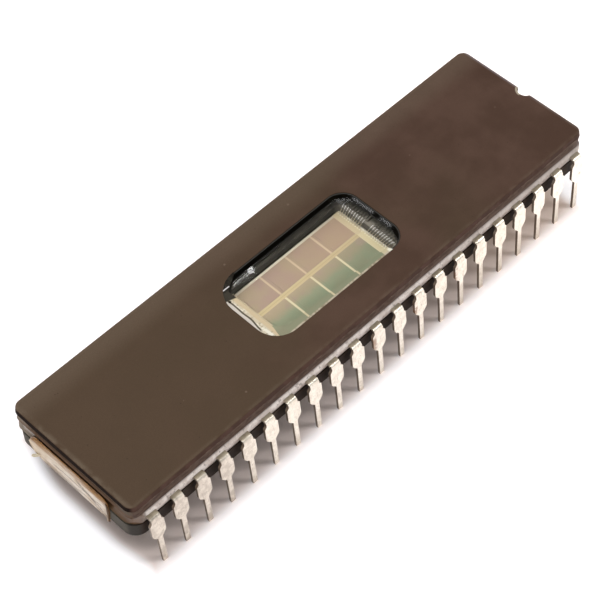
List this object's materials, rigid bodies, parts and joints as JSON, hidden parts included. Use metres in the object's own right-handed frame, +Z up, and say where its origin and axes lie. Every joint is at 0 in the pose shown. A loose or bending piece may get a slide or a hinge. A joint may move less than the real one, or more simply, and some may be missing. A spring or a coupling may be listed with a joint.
{
  "type": "windowed ceramic memory chip",
  "caption": "Long brown ceramic dual in-line chip with a rounded glass window over its die, formed tin-plated leads and a torn paper label remnant.",
  "frame": {"origin": "middle of the chip in plan, on the surface that the lead tips stand on", "axes": "+X along the package towards the index notch, +Y towards the row of pins 1 to 21, +Z up through the window"},
  "size_m": [0.0545, 0.0168, 0.0082],
  "materials": {
    "base_ceramic": "matt pressed ceramic",
    "cap_ceramic": "matt brown pressed ceramic",
    "seal_glass": "fired grey sealing glass",
    "window_glass": "clear polished glass",
    "die_attach_film": "fired silver glass",
    "silicon": "patterned silicon",
    "lead_metal": "dull tin plate with some rust",
    "wire_metal": "drawn aluminium wire",
    "label_paper": "torn aged paper",
    "label_adhesive": "aged brown adhesive"
  },
  "bodies": {
    "root": {"ceramic_base": "base_ceramic", "ceramic_cap": "cap_ceramic", "seal_glass_lower": "seal_glass", "seal_glass_upper": "seal_glass", "window_glass": "window_glass", "die_attach": "die_attach_film", "silicon_die": "silicon", "label_paper": "label_paper", "label_adhesive": "label_adhesive", "lead_01": "lead_metal", "lead_02": "lead_metal", "lead_03": "lead_metal", "lead_04": "lead_metal", "lead_05": "lead_metal", "lead_06": "lead_metal", "lead_07": "lead_metal", "lead_08": "lead_metal", "lead_09": "lead_metal", "lead_10": "lead_metal", "lead_11": "lead_metal", "lead_12": "lead_metal", "lead_13": "lead_metal", "lead_14": "lead_metal", "lead_15": "lead_metal", "lead_16": "lead_metal", "lead_17": "lead_metal", "lead_18": "lead_metal", "lead_19": "lead_metal", "lead_20": "lead_metal", "lead_21": "lead_metal", "lead_22": "lead_metal", "lead_23": "lead_metal", "lead_24": "lead_metal", "lead_25": "lead_metal", "lead_26": "lead_metal", "lead_27": "lead_metal", "lead_28": "lead_metal", "lead_29": "lead_metal", "lead_30": "lead_metal", "lead_31": "lead_metal", "lead_32": "lead_metal", "lead_33": "lead_metal", "lead_34": "lead_metal", "lead_35": "lead_metal", "lead_36": "lead_metal", "lead_37": "lead_metal", "lead_38": "lead_metal", "lead_39": "lead_metal", "lead_40": "lead_metal", "lead_41": "lead_metal", "lead_42": "lead_metal", "bond_wires_blank_end_near_row": "wire_metal", "bond_wires_blank_end_far_row": "wire_metal", "bond_wires_notch_end_near_row": "wire_metal", "bond_wires_notch_end_far_row": "wire_metal"}
  },
  "joints": []
}
